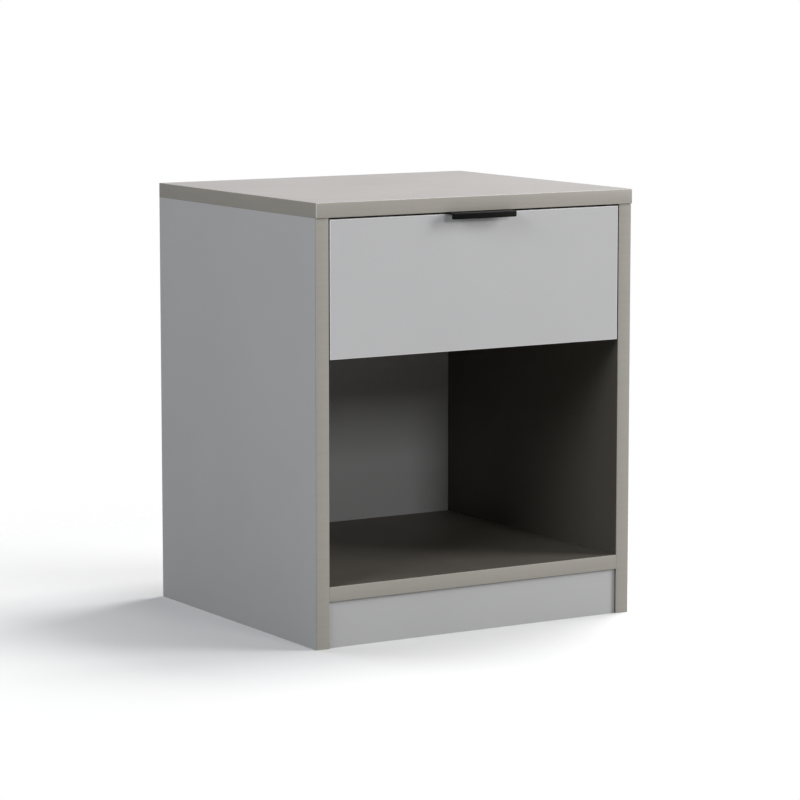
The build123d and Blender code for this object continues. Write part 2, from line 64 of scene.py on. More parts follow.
MM = 0.001
SIDES = {"left": -1, "right": 1}
AXES = {"X": 0, "Y": 1, "Z": 2}
NEAR = 0.05 * MM
HAIR = 0.01 * MM

# Tones that wear and dust bring to a finish.
RUBBED_BOARD = (0.80, 0.79, 0.77)
RUBBED_BAND = (0.74, 0.73, 0.70)
RUBBED_POWDER = (0.022, 0.021, 0.020)
RUBBED_PAINT = (0.36, 0.36, 0.36)
RUBBED_NYLON = (0.30, 0.30, 0.29)
DUST = (0.72, 0.71, 0.69)

# The slide rails, rolled from sheet.
HOLE_PITCH = 32 * MM
HOLE_RADIUS = 2.1 * MM
CASE_RAIL_HOLES = (3, 4, 6, 7)
DRAWER_RAIL_HOLES = (1, 3, 4, 6, 7)
DRAWER_HOLE_LEVEL = 8 * MM
CASE_RAIL_BEND = 1.7 * MM
DRAWER_RAIL_BEND = 1.5 * MM
BURR = 0.18 * MM

# Fasteners: radius and height of the head, radius of the shank.
SCREW_SHAPE = (3.5 * MM, 1.8 * MM, 1.75 * MM)
NAIL_SHAPE = (2.2 * MM, 0.8 * MM, 0.7 * MM)
RIVET_SHAPE = (4.0 * MM, 0.8 * MM, 2.5 * MM)

# Lights: degrees round to the right and up, distance, width and height, tint.
NEUTRAL = (1.0, 1.0, 1.0)
COOL = (0.95, 0.965, 1.0)
LIGHTS = {
    "key": ((58, 22), 4.5, (1.8, 2.6), NEUTRAL),
    "front": ((7, 21), 3.0, (0.6, 0.6), NEUTRAL),
    "left": ((-70, 28), 3.0, (1.2, 1.2), COOL),
    "back": ((-150, 55), 3.0, (1.2, 1.2), COOL),
    "top": ((105, 62), 3.0, (1.2, 1.2), NEUTRAL),
}

# The floor: how far out it is solid and then gone, and its tones as seen and as a reflector.
FLOOR_SOLID = 0.26
FLOOR_GONE = 0.80
FLOOR_SEEN = (0.93, 0.93, 0.93)
FLOOR_BOUNCE = (0.28, 0.28, 0.28)


# ------------------------------------------------------------------ properties


def length_property(name, description, default):
    """A length in metres that a user may change."""
    return bpy.props.FloatProperty(
        name=name, description=description, default=default, min=0.0, unit="LENGTH", precision=5
    )


def color_property(name, description, default):
    """A colour that a user may change."""
    return bpy.props.FloatVectorProperty(
        name=name, description=description, default=default, min=0.0, max=1.0, subtype="COLOR"
    )


def angle_property(name, description, degrees):
    """An angle that a user may change."""
    return bpy.props.FloatProperty(
        name=name, description=description, default=math.radians(degrees), subtype="ANGLE"
    )


def light_property(name, description, watts):
    """The power of a light in watts."""
    return bpy.props.FloatProperty(
        name=name, description=description, default=watts, min=0.0, unit="POWER"
    )


class SideTableSizes(bpy.types.PropertyGroup):
    """Sizes that the frame doesn't state."""

    arris: length_property("Arris", "Rounding along the outer edges of the edge bands", 0.55 * MM)
    skin: length_property("Skin", "Thickness of the decor face on the boards", 0.25 * MM)
    pull_sheet: length_property("Pull sheet", "Thickness of the edge pull's sheet", 1.5 * MM)
    pull_lip: length_property("Pull lip", "Height of the edge pull's lip", 6.6 * MM)
    pull_bend: length_property("Pull bend", "Outer radius of the edge pull's bends", 1.3 * MM)
    pull_corner: length_property(
        "Pull corner", "Radius of the lower corners of the edge pull's lip and tail", 1.6 * MM
    )
    rail_sheet: length_property("Rail sheet", "Thickness of the slide rails' steel", 1.2 * MM)
    roller_window: length_property("Roller window", "Cut in a case rail's top flange", 24 * MM)
    rivet: length_property("Rivet", "Radius of the rollers' bores", 2.55 * MM)


class SideTableColors(bpy.types.PropertyGroup):
    """Colours of the finishes."""

    warm_board: color_property("Warm board", "Decor of the top", (0.455, 0.434, 0.422))
    # Taupe decor, darkened far below the top's tone as painted shade of the open bay and the
    # underside of the top.
    inner_board_painted_shade: color_property(
        "Inner board", "Decor of shelf, inner sides and under the top", (0.148, 0.134, 0.112)
    )
    cool_board: color_property(
        "Cool board", "Decor of outer sides, drawer front and plinth", (0.648, 0.648, 0.652)
    )
    warm_band: color_property("Warm band", "Edge bands of the case", (0.462, 0.436, 0.389))
    cool_band: color_property("Cool band", "Edge bands of the drawer front", (0.66, 0.66, 0.655))
    # Painted highlights: near-white tones for the cut ends of the top's front band and for the
    # edges of the drawer front's bands.
    scraped_warm: color_property(
        "Scraped warm", "Cut ends of the top's front band", (0.95, 0.945, 0.93)
    )
    scraped_cool: color_property(
        "Scraped cool", "Cut edges of the drawer front's bands", (0.97, 0.97, 0.965)
    )
    foil: color_property("Foil", "Drawer sides and back", (0.58, 0.58, 0.58))
    lacquer: color_property("Lacquer", "Lacquered face of the thin boards", (0.56, 0.56, 0.565))
    hardboard: color_property("Hardboard", "Bare face of the thin boards", (0.20, 0.115, 0.06))
    powder: color_property("Powder coat", "Edge pull", (0.0035, 0.0035, 0.0032))
    rail_paint: color_property("Rail paint", "Slide rails", (0.72, 0.72, 0.70))
    nylon: color_property("Nylon", "Rollers", (0.70, 0.69, 0.64))


class SideTableStage(bpy.types.PropertyGroup):
    """Camera and lights."""

    azimuth: angle_property("Azimuth", "How far the camera stands round to the left", 31.44)
    elevation: angle_property("Elevation", "How high the camera looks down from", 7.69)
    distance: length_property("Distance", "From the camera to the point that it looks at", 3.644)
    lens: bpy.props.FloatProperty(
        name="Lens", description="Focal length on a 36 mm sensor", default=151.25, unit="CAMERA"
    )
    aim: bpy.props.FloatVectorProperty(
        name="Aim",
        description="The point looked at: from the middle, from the front plane, above the floor",
        default=(-0.0533, 0.0718, 0.2478),
        subtype="TRANSLATION",
    )
    key_power: light_property("Key", "Large light far round to the right", 122.0)
    front_power: light_property("Front", "Small low light that reaches the bay's back panel", 15.0)
    left_power: light_property("Left", "Light on the left side and its edges", 32.0)
    back_power: light_property("Back", "High light from behind on the left", 15.0)
    top_power: light_property("Top", "High light on the right", 73.0)
    ambient: bpy.props.FloatProperty(
        name="Ambient", description="Strength of the light from all round", default=0.008
    )


GROUPS = {"sizes": SideTableSizes, "colors": SideTableColors, "stage": SideTableStage}


def setting(group):
    """The scene's values for one property group."""
    return getattr(bpy.context.scene, f"side_table_{group}")


# --------------------------------------------------------------- node helpers


def add_node(tree, kind, values=None, **settings):
    """Add a shader node, set its properties and fill its input sockets."""
    made = tree.nodes.new(f"ShaderNode{kind}")
    for key, value in settings.items():
        setattr(made, key, value)
    for key, value in (values or {}).items():
        fill(tree, made.inputs[key], value)
    return made


def fill(tree, socket, value):
    """Give a socket a number, a colour or a link from another socket."""
    if isinstance(value, bpy.types.NodeSocket):
        tree.links.new(value, socket)
    elif hasattr(value, "__len__") and len(value) == 3 and socket.type == "RGBA":
        socket.default_value = (*value, 1.0)
    else:
        socket.default_value = value


def maths(tree, operation, first, second):
    """One arithmetic step; returns its output socket."""
    return add_node(tree, "Math", {0: first, 1: second}, operation=operation).outputs[0]


def product(tree, first, second):
    """Two values multiplied."""
    return maths(tree, "MULTIPLY", first, second)


def total(tree, first, second):
    """Two values added."""
    return maths(tree, "ADD", first, second)


def brighten(tree, color, value):
    """A colour made lighter or darker; returns its output socket."""
    return add_node(tree, "HueSaturation", {"Color": color, "Value": value}).outputs[0]


def dimmed(color, factor):
    """A fixed colour times a factor."""
    return tuple(channel * factor for channel in color)


def spread(tree, value, from_low, from_high, to_low=0.0, to_high=1.0):
    """Stretch a range of values on to another; returns its output socket."""
    sockets = {
        "Value": value,
        "From Min": from_low,
        "From Max": from_high,
        "To Min": to_low,
        "To Max": to_high,
    }
    return add_node(tree, "MapRange", sockets).outputs["Result"]


def blend_colors(tree, factor, first, second):
    """Mix two colours; returns the output socket."""
    made = tree.nodes.new("ShaderNodeMix")
    made.data_type = "RGBA"
    for socket, value in ((0, factor), (6, first), (7, second)):
        fill(tree, made.inputs[socket], value)
    return made.outputs[2]


def noise(tree, vector, scale, detail=2.0, roughness=0.5, stretch=None):
    """Cloudy noise on a vector; returns its value socket."""
    if stretch:
        scaled = add_node(tree, "VectorMath", {0: vector, 1: stretch}, operation="MULTIPLY")
        vector = scaled.outputs[0]
    values = {"Vector": vector, "Scale": scale, "Detail": detail, "Roughness": roughness}
    return add_node(tree, "TexNoise", values).outputs[0]


def shader_group(name, inputs, outputs, build):
    """A shader node group with named sockets, built once and then reused."""
    if name in bpy.data.node_groups:
        return bpy.data.node_groups[name]
    tree = bpy.data.node_groups.new(name, "ShaderNodeTree")
    for label, (kind, default) in inputs.items():
        socket = tree.interface.new_socket(name=label, in_out="INPUT", socket_type=kind)
        if default is not None:
            socket.default_value = default
    for label, kind in outputs.items():
        tree.interface.new_socket(name=label, in_out="OUTPUT", socket_type=kind)
    entry = tree.nodes.new("NodeGroupInput")
    leave = tree.nodes.new("NodeGroupOutput")
    for label, value in build(tree, entry.outputs).items():
        tree.links.new(value, leave.inputs[label])
    return tree


def place_group(tree, group, values):
    """Put a group into a material and fill its inputs; returns its outputs."""
    made = tree.nodes.new("ShaderNodeGroup")
    made.node_tree = group
    for key, value in values.items():
        fill(tree, made.inputs[key], value)
    return made.outputs


VECTOR = "NodeSocketVector"
FLOAT = "NodeSocketFloat"
COLOR = "NodeSocketColor"


def decor_group():
    """Printed decor film: faint clouds, fine specks, a pearled surface and smudges."""

    def build(tree, given):
        clouds = noise(tree, given["Vector"], 11.0, 4.0, 0.55)
        flecks = noise(tree, given["Vector"], 700.0, 2.0, 0.6)
        pearl = noise(tree, given["Vector"], 1500.0, 1.0)
        smudge = noise(tree, given["Vector"], 4.5, 3.0, 0.6)
        cloud_part = product(tree, maths(tree, "SUBTRACT", clouds, 0.5), given["Clouds"])
        fleck_part = product(tree, maths(tree, "SUBTRACT", flecks, 0.5), given["Flecks"])
        value = total(tree, total(tree, cloud_part, fleck_part), 1.0)
        rough = total(tree, given["Roughness"], spread(tree, smudge, 0.3, 0.7, -0.05, 0.05))
        color = brighten(tree, given["Color"], value)
        return {"Color": color, "Roughness": rough, "Height": pearl}

    return shader_group(
        "decor film",
        {
            "Vector": (VECTOR, None),
            "Color": (COLOR, None),
            "Clouds": (FLOAT, 0.06),
            "Flecks": (FLOAT, 0.10),
            "Roughness": (FLOAT, 0.55),
        },
        {"Color": COLOR, "Roughness": FLOAT, "Height": FLOAT},
        build,
    )


def chipboard_group():
    """Cut edge of particle board: pressed chips of mixed wood, darker glue between them."""

    def build(tree, given):
        wobble = noise(tree, given["Vector"], 260.0, 2.0)
        cells = {"Vector": given["Vector"], "Scale": 420.0, "Randomness": 1.0}
        chips = add_node(tree, "TexVoronoi", cells)
        tone = add_node(tree, "SeparateColor", {0: chips.outputs["Color"]})
        pale = blend_colors(tree, tone.outputs[0], (0.44, 0.30, 0.17), (0.62, 0.47, 0.30))
        dark = blend_colors(tree, spread(tree, wobble, 0.35, 0.65), pale, (0.33, 0.21, 0.12))
        gaps = spread(tree, chips.outputs["Distance"], 0.0, 0.7)
        color = blend_colors(tree, product(tree, gaps, 0.5), pale, dark)
        return {"Color": color, "Height": gaps}

    return shader_group(
        "chipboard", {"Vector": (VECTOR, None)}, {"Color": COLOR, "Height": FLOAT}, build
    )


def section_group():
    """Where a point lies through a board: on its low face, on its high face or in its core."""

    def build(tree, given):
        above_low = total(tree, given["Low"], given["Skin"])
        below_high = maths(tree, "SUBTRACT", given["High"], given["Skin"])
        low = maths(tree, "LESS_THAN", given["Position"], above_low)
        high = maths(tree, "GREATER_THAN", given["Position"], below_high)
        return {"Low Face": low, "High Face": high}

    return shader_group(
        "board section",
        {
            "Position": (FLOAT, 0.0),
            "Low": (FLOAT, 0.0),
            "High": (FLOAT, 1.0),
            "Skin": (FLOAT, 0.0002),
        },
        {"Low Face": FLOAT, "High Face": FLOAT},
        build,
    )


def wear_group():
    """Rubbed edges: strongest where the surface turns, broken up by noise."""

    def build(tree, given):
        turned = add_node(tree, "Bevel", {"Radius": given["Reach"]}, samples=4)
        flat = add_node(tree, "NewGeometry")
        normals = {0: turned.outputs[0], 1: flat.outputs["Normal"]}
        likeness = add_node(tree, "VectorMath", normals, operation="DOT_PRODUCT")
        edge = spread(tree, likeness.outputs["Value"], 0.995, 0.80)
        patches = spread(tree, noise(tree, given["Vector"], 90.0, 4.0, 0.65), 0.38, 0.62)
        return {"Mask": product(tree, product(tree, edge, patches), given["Amount"])}

    return shader_group(
        "edge wear",
        {"Vector": (VECTOR, None), "Reach": (FLOAT, 0.0008), "Amount": (FLOAT, 0.5)},
        {"Mask": FLOAT},
        build,
    )


def dust_group():
    """Fine dust that settles on faces that look up."""

    def build(tree, given):
        facing = add_node(tree, "SeparateXYZ", {0: given["Normal"]})
        upward = spread(tree, facing.outputs["Z"], 0.6, 0.98)
        drift = spread(tree, noise(tree, given["Vector"], 22.0, 5.0, 0.62), 0.45, 0.75)
        grains = spread(tree, noise(tree, given["Vector"], 1100.0, 1.0), 0.60, 0.70)
        both = total(tree, product(tree, drift, 0.5), product(tree, grains, 0.5))
        return {"Mask": product(tree, product(tree, upward, both), given["Amount"])}

    return shader_group(
        "settled dust",
        {"Vector": (VECTOR, None), "Normal": (VECTOR, None), "Amount": (FLOAT, 0.2)},
        {"Mask": FLOAT},
        build,
    )


# -------------------------------------------------------------------- materials


class Finish:
    """A material under construction: its tree, its coordinates and its surface shader."""

    def __init__(self, name, **constants):
        self.material = bpy.data.materials.new(name)
        self.material.use_nodes = True
        self.tree = self.material.node_tree
        self.tree.nodes.clear()
        self.surface = self.tree.nodes.new("ShaderNodeBsdfPrincipled")
        for socket, value in constants.items():
            self.surface.inputs[socket.replace("_", " ")].default_value = value
        output = self.tree.nodes.new("ShaderNodeOutputMaterial")
        self.tree.links.new(self.surface.outputs[0], output.inputs[0])
        coordinates = self.tree.nodes.new("ShaderNodeTexCoord")
        self.place = coordinates.outputs["Object"]
        self.normal = coordinates.outputs["Normal"]

    def connect(self, color=None, roughness=None, height=None, depth=0.02 * MM, strength=0.5):
        """Feed the surface; returns the finished material."""
        if color is not None:
            fill(self.tree, self.surface.inputs["Base Color"], color)
        if roughness is not None:
            fill(self.tree, self.surface.inputs["Roughness"], roughness)
        if height is not None:
            values = {"Strength": strength, "Distance": depth, "Height": height}
            bump = add_node(self.tree, "Bump", values)
            self.tree.links.new(bump.outputs[0], self.surface.inputs["Normal"])
        return self.material


def along(finish, axis):
    """The object coordinate along one axis."""
    parts = add_node(finish.tree, "SeparateXYZ", {0: finish.place})
    return parts.outputs[axis]


def decor(finish, color, **values):
    """Decor film of one colour in a material; returns the group's outputs."""
    inputs = {"Vector": finish.place, "Color": tuple(color), **values}
    return place_group(finish.tree, decor_group(), inputs)


def wear_mask(finish, reach, amount):
    """Where a finish is rubbed: how far in from the edges, and how strongly."""
    values = {"Vector": finish.place, "Reach": reach, "Amount": amount}
    return place_group(finish.tree, wear_group(), values)["Mask"]


def board_section(finish, node, axis):
    """The masks of the low and the high face of a board."""
    low, high = (corner[AXES[axis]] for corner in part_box(node))
    skin = setting("sizes").skin
    values = {"Position": along(finish, axis), "Low": low, "High": high, "Skin": skin}
    return place_group(finish.tree, section_group(), values)


def board_material(name, node, axis, low_color, high_color, capped=False, dust=0.0):
    """Particle board: decor on two faces, and on its top if capped, with chipboard between."""
    finish = Finish(name, IOR=1.5, Specular_IOR_Level=0.5)
    tree = finish.tree
    section = board_section(finish, node, axis)
    core = place_group(tree, chipboard_group(), {"Vector": finish.place})
    low_face = decor(finish, low_color)
    high_face = decor(finish, high_color)
    face_mask = maths(tree, "MAXIMUM", section["Low Face"], section["High Face"])
    color = blend_colors(tree, section["Low Face"], core["Color"], low_face["Color"])
    color = blend_colors(tree, section["High Face"], color, high_face["Color"])
    if capped:
        below_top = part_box(node)[1].z - setting("sizes").skin
        cap = maths(tree, "GREATER_THAN", along(finish, "Z"), below_top)
        color = blend_colors(tree, cap, color, high_face["Color"])
        face_mask = maths(tree, "MAXIMUM", face_mask, cap)
    rubbed = product(tree, wear_mask(finish, 0.8 * MM, 0.35), face_mask)
    color = blend_colors(tree, rubbed, color, RUBBED_BOARD)
    if dust:
        values = {"Vector": finish.place, "Normal": finish.normal, "Amount": dust}
        settled = place_group(tree, dust_group(), values)
        color = blend_colors(tree, settled["Mask"], color, DUST)
    face_rough = product(tree, face_mask, high_face["Roughness"])
    rough = total(tree, face_rough, spread(tree, face_mask, 0.0, 1.0, 0.9, 0.0))
    face_height = product(tree, face_mask, high_face["Height"])
    height = total(tree, face_height, spread(tree, face_mask, 0.0, 1.0, core["Height"], 0.0))
    return finish.connect(color, rough, height)


def band_material(name, color):
    """Plastic edge band: fine pebbling, drawn out along its length, and rubbed arrises."""
    finish = Finish(name, IOR=1.5, Coat_Weight=0.12, Coat_Roughness=0.25)
    tree = finish.tree
    film = decor(finish, color, Clouds=0.05, Flecks=0.08, Roughness=0.42)
    streaks = noise(tree, finish.place, 60.0, 3.0, stretch=(0.25, 0.25, 6.0))
    toned = brighten(tree, film["Color"], spread(tree, streaks, 0.3, 0.7, 0.975, 1.02))
    color = blend_colors(tree, wear_mask(finish, 0.6 * MM, 0.5), toned, RUBBED_BAND)
    return finish.connect(color, film["Roughness"], film["Height"])


def thin_board_material(name, node, axis, lacquer_low):
    """Hardboard: lacquered on one face, brown and fibrous on the other and at its edges."""
    brown = tuple(setting("colors").hardboard)
    finish = Finish(name)
    tree = finish.tree
    mask = board_section(finish, node, axis)["Low Face" if lacquer_low else "High Face"]
    film = decor(finish, setting("colors").lacquer, Roughness=0.5)
    fibres = noise(tree, finish.place, 170.0, 6.0, 0.7)
    cells = {"Vector": finish.place, "Scale": 700.0, "Randomness": 0.15}
    mesh_print = add_node(tree, "TexVoronoi", cells).outputs["Distance"]
    bare = blend_colors(tree, spread(tree, fibres, 0.35, 0.65), dimmed(brown, 0.72), brown)
    raised = spread(tree, mesh_print, 0.2, 0.6, 0.0, 0.35)
    bare = blend_colors(tree, raised, bare, dimmed(brown, 1.7))
    color = blend_colors(tree, mask, bare, film["Color"])
    rough = spread(tree, mask, 0.0, 1.0, 0.75, film["Roughness"])
    height = spread(tree, mask, 0.0, 1.0, mesh_print, film["Height"])
    return finish.connect(color, rough, height, depth=0.08 * MM)


def powder_material(name):
    """Black powder coat: fine orange peel, grey where fingers have rubbed the edges."""
    finish = Finish(name, IOR=1.5, Specular_IOR_Level=0.10)
    tree = finish.tree
    peel = noise(tree, finish.place, 900.0, 2.0)
    black = tuple(setting("colors").powder)
    clouds = spread(tree, noise(tree, finish.place, 120.0, 4.0), 0.35, 0.7)
    tone = blend_colors(tree, clouds, black, dimmed(black, 1.8))
    color = blend_colors(tree, wear_mask(finish, 0.5 * MM, 0.35), tone, RUBBED_POWDER)
    rough = spread(tree, noise(tree, finish.place, 45.0, 3.0), 0.3, 0.7, 0.42, 0.58)
    return finish.connect(color, rough, peel, depth=0.04 * MM, strength=0.6)


def paint_material(name):
    """White epoxy on rolled steel: slight peel, rolling lines, grey rub marks."""
    finish = Finish(name, IOR=1.5, Coat_Weight=0.25, Coat_Roughness=0.12)
    tree = finish.tree
    lines = noise(tree, finish.place, 200.0, 3.0, stretch=(8.0, 0.15, 8.0))
    paint = tuple(setting("colors").rail_paint)
    color = blend_colors(tree, spread(tree, lines, 0.3, 0.7), dimmed(paint, 0.93), paint)
    color = blend_colors(tree, wear_mask(finish, 0.7 * MM, 0.8), color, RUBBED_PAINT)
    rough = spread(tree, noise(tree, finish.place, 60.0, 3.0), 0.3, 0.7, 0.26, 0.4)
    return finish.connect(color, rough, noise(tree, finish.place, 650.0, 1.0), depth=0.03 * MM)


def metal_material(name, color, rough_low, rough_high, grain=350.0):
    """Bare metal: cloudy tarnish, fine grain and uneven gloss."""
    finish = Finish(name, Metallic=1.0)
    tree = finish.tree
    clouds = noise(tree, finish.place, grain, 5.0, 0.65)
    tone = blend_colors(tree, spread(tree, clouds, 0.3, 0.75), dimmed(color, 0.72), color)
    gloss = noise(tree, finish.place, grain * 0.4, 4.0)
    rough = spread(tree, gloss, 0.3, 0.7, rough_low, rough_high)
    return finish.connect(tone, rough, noise(tree, finish.place, grain * 4, 2.0))


def beech_material(name):
    """Beech dowel: short straight grain and small dark rays."""
    finish = Finish(name)
    tree = finish.tree
    grain = noise(tree, finish.place, 260.0, 6.0, 0.6)
    rays = spread(tree, noise(tree, finish.place, 1400.0, 2.0), 0.62, 0.7)
    color = blend_colors(tree, grain, (0.46, 0.29, 0.16), (0.66, 0.47, 0.29))
    color = blend_colors(tree, rays, color, (0.28, 0.16, 0.08))
    rough = spread(tree, grain, 0.0, 1.0, 0.75, 0.55)
    return finish.connect(color, rough, grain, depth=0.05 * MM)


def nylon_material(name):
    """Moulded nylon: slightly waxy, with flow marks and grey scuffs on the tread."""
    finish = Finish(name, Subsurface_Weight=0.15, Subsurface_Scale=0.002)
    tree = finish.tree
    flow = noise(tree, finish.place, 240.0, 4.0, 0.6)
    base = tuple(setting("colors").nylon)
    color = blend_colors(tree, spread(tree, flow, 0.3, 0.7), dimmed(base, 0.9), base)
    color = blend_colors(tree, wear_mask(finish, 0.5 * MM, 0.7), color, RUBBED_NYLON)
    return finish.connect(color, spread(tree, flow, 0.3, 0.7, 0.3, 0.48), flow)


MATERIALS = {
    "warm_band": lambda name: band_material(name, setting("colors").warm_band),
    "cool_band": lambda name: band_material(name, setting("colors").cool_band),
    # Painted highlight finishes for the bands' cut faces.
    "scraped_warm_band": lambda name: band_material(name, setting("colors").scraped_warm),
    "scraped_cool_band": lambda name: band_material(name, setting("colors").scraped_cool),
    "black_powder_coat": powder_material,
    "white_epoxy": paint_material,
    "zinc_plate": lambda name: metal_material(name, (0.66, 0.65, 0.62), 0.24, 0.42),
    "cast_zinc": lambda name: metal_material(name, (0.50, 0.50, 0.51), 0.42, 0.62, 220.0),
    "beech": beech_material,
    "white_nylon": nylon_material,
}


def material(name):
    """One of the finishes that several pieces share, built when it is first asked for."""
    return bpy.data.materials.get(name) or MATERIALS[name](name)


def cover(obj, made):
    """Give an object one material all over."""
    obj.data.materials.clear()
    obj.data.materials.append(made)


# ----------------------------------------------------------------- modelling


def only(*objects):
    """Select some objects alone and make the first one active."""
    bpy.ops.object.select_all(action="DESELECT")
    for obj in objects:
        obj.select_set(True)
    bpy.context.view_layer.objects.active = objects[0]


def apply_place(obj):
    """Put an object's place, turn and size into its mesh."""
    only(obj)
    bpy.ops.object.transform_apply(location=True, rotation=True, scale=True)


def name_it(obj, name):
    """Name an object and its data."""
    obj.name = name
    obj.data.name = name
    return obj


def add(operator, name, **values):
    """Add one object by its operator with nothing else selected, and name it."""
    bpy.ops.object.select_all(action="DESELECT")
    operator(**values)
    return name_it(bpy.context.active_object, name)


def block(name, low, high):
    """A box between two corners."""
    low, high = Vector(low), Vector(high)
    obj = add(bpy.ops.mesh.primitive_cube_add, name, size=1.0, location=(low + high) / 2)
    obj.scale = high - low
    apply_place(obj)
    return obj


def drum(name, base, direction, radius, length, sides=32):
    """A cylinder that leaves a base point in a direction."""
    direction = Vector(direction).normalized()
    obj = add(
        bpy.ops.mesh.primitive_cylinder_add,
        name,
        vertices=sides,
        radius=radius,
        depth=length,
        location=Vector(base) + direction * (length / 2),
        rotation=direction.to_track_quat("Z", "Y").to_euler(),
    )
    apply_place(obj)
    return obj


def edit(obj, kind):
    """Enter edit mode on one object with nothing selected, for faces or edges."""
    only(obj)
    bpy.ops.object.mode_set(mode="EDIT")
    bpy.ops.mesh.select_mode(type=kind)
    bpy.ops.mesh.select_all(action="DESELECT")
    bpy.ops.object.mode_set(mode="OBJECT")


def pick_faces(obj, test):
    """Select the faces whose centre and normal pass a test, and stay in edit mode."""
    edit(obj, "FACE")
    for face in obj.data.polygons:
        face.select = test(face.center, face.normal)
    bpy.ops.object.mode_set(mode="EDIT")


def pick_edges(obj, test):
    """Select the edges whose two ends pass a test, and stay in edit mode."""
    edit(obj, "EDGE")
    points = obj.data.vertices
    for line in obj.data.edges:
        line.select = test(points[line.vertices[0]].co, points[line.vertices[1]].co)
    bpy.ops.object.mode_set(mode="EDIT")


def pick_all(obj):
    """Select every face, and stay in edit mode."""
    pick_faces(obj, lambda centre, normal: True)


def leave_edit():
    """Back to object mode."""
    bpy.ops.object.mode_set(mode="OBJECT")


def round_edges(obj, test, width, segments=4):
    """Round the edges whose ends pass a test."""
    pick_edges(obj, test)
    bpy.ops.mesh.bevel(offset=width, segments=segments, profile=0.5, clamp_overlap=True)
    leave_edit()


def extrude(direction):
    """Push out the selected faces or edges."""
    bpy.ops.mesh.extrude_region_move(TRANSFORM_OT_translate={"value": direction})


def modify(obj, kind, **values):
    """Apply one modifier to an object."""
    only(obj)
    bpy.ops.object.modifier_add(type=kind)
    modifier = obj.modifiers[-1]
    for key, value in values.items():
        setattr(modifier, key, value)
    bpy.ops.object.modifier_apply(modifier=modifier.name)


def soften(obj, width, segments, degrees):
    """Bevel every edge sharper than an angle."""
    limit = math.radians(degrees)
    modify(obj, "BEVEL", width=width, segments=segments, limit_method="ANGLE", angle_limit=limit)


def smooth(obj, degrees=35.0):
    """Shade smooth except across sharp edges."""
    only(obj)
    bpy.ops.object.shade_smooth_by_angle(angle=math.radians(degrees))


def carve(obj, tool):
    """Cut a tool's shape out of an object and delete the tool."""
    modify(obj, "BOOLEAN", operation="DIFFERENCE", solver="EXACT", object=tool)
    bpy.data.objects.remove(tool)


def tidy_mesh(obj):
    """Merge doubled points and point the faces outwards."""
    pick_all(obj)
    bpy.ops.mesh.remove_doubles(threshold=0.001 * MM)
    bpy.ops.mesh.normals_make_consistent(inside=False)
    leave_edit()


def join(name, pieces):
    """Join several objects into one."""
    only(*pieces)
    bpy.ops.object.join()
    return name_it(bpy.context.active_object, name)


def copy_to(pattern, base, direction):
    """A copy of a piece that was made upright at the origin, stood on a point along a direction."""
    made = pattern.copy()
    made.data = pattern.data.copy()
    bpy.context.scene.collection.objects.link(made)
    turn = Vector(direction).to_track_quat("Z", "Y").to_matrix().to_4x4()
    made.matrix_world = Matrix.Translation(base) @ turn
    apply_place(made)
    return made


def stand_for(obj, node, finish=None):
    """Make a piece stand for a CAD node: attach it to the node's body, hide the node and, unless it
    has one, give it its finish.
    """
    if finish:
        cover(obj, material(finish))
    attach(obj, body_of_node(node))
    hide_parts(node)


def body_of_node(node):
    """The body that a CAD node belongs to."""
    bodies = frame["record"]["behaviour"]["bodies"]
    return next(body for body, members in bodies.items() if node in members)


def shells(node):
    """The boxes of a CAD node's separate solids: its points are merged and followed by edges."""
    mesh = frame["nodes"][node].data
    keys = {}
    owner = []
    for point in mesh.vertices:
        owner.append(keys.setdefault(tuple(round(c / HAIR) for c in point.co), len(keys)))
    parent = list(range(len(keys)))

    def root(index):
        while parent[index] != index:
            parent[index] = parent[parent[index]]
            index = parent[index]
        return index

    for line in mesh.edges:
        first, second = (root(owner[i]) for i in line.vertices)
        parent[first] = second
    groups = {}
    for point, index in zip(mesh.vertices, owner):
        groups.setdefault(root(index), []).append(point.co)
    boxes = []
    for points in groups.values():
        low = Vector(min(p[i] for p in points) for i in range(3))
        high = Vector(max(p[i] for p in points) for i in range(3))
        boxes.append((low, high))
    return sorted(boxes, key=lambda box: tuple(round(c, 5) for c in box[0]))


# ------------------------------------------------------------------- operators

FORWARD, LEFTWARD, RIGHTWARD = (0, -1, 0), (-1, 0, 0), (1, 0, 0)
BANDS = {
    "top_front_edge_band": (FORWARD, "warm_band", True),
    "top_left_edge_band": (LEFTWARD, "warm_band", False),
    "top_right_edge_band": (RIGHTWARD, "warm_band", False),
    "left_side_edge_band": (FORWARD, "warm_band", False),
    "right_side_edge_band": (FORWARD, "warm_band", False),
    "bottom_shelf_edge_band": (FORWARD, "warm_band", False),
    "drawer_front_left_edge_band": (LEFTWARD, "cool_band", True),
    "drawer_front_right_edge_band": (RIGHTWARD, "cool_band", True),
    "drawer_front_lower_edge_band": ((0, 0, -1), "cool_band", True),
    "drawer_front_upper_edge_band": ((0, 0, 1), "cool_band", True),
}


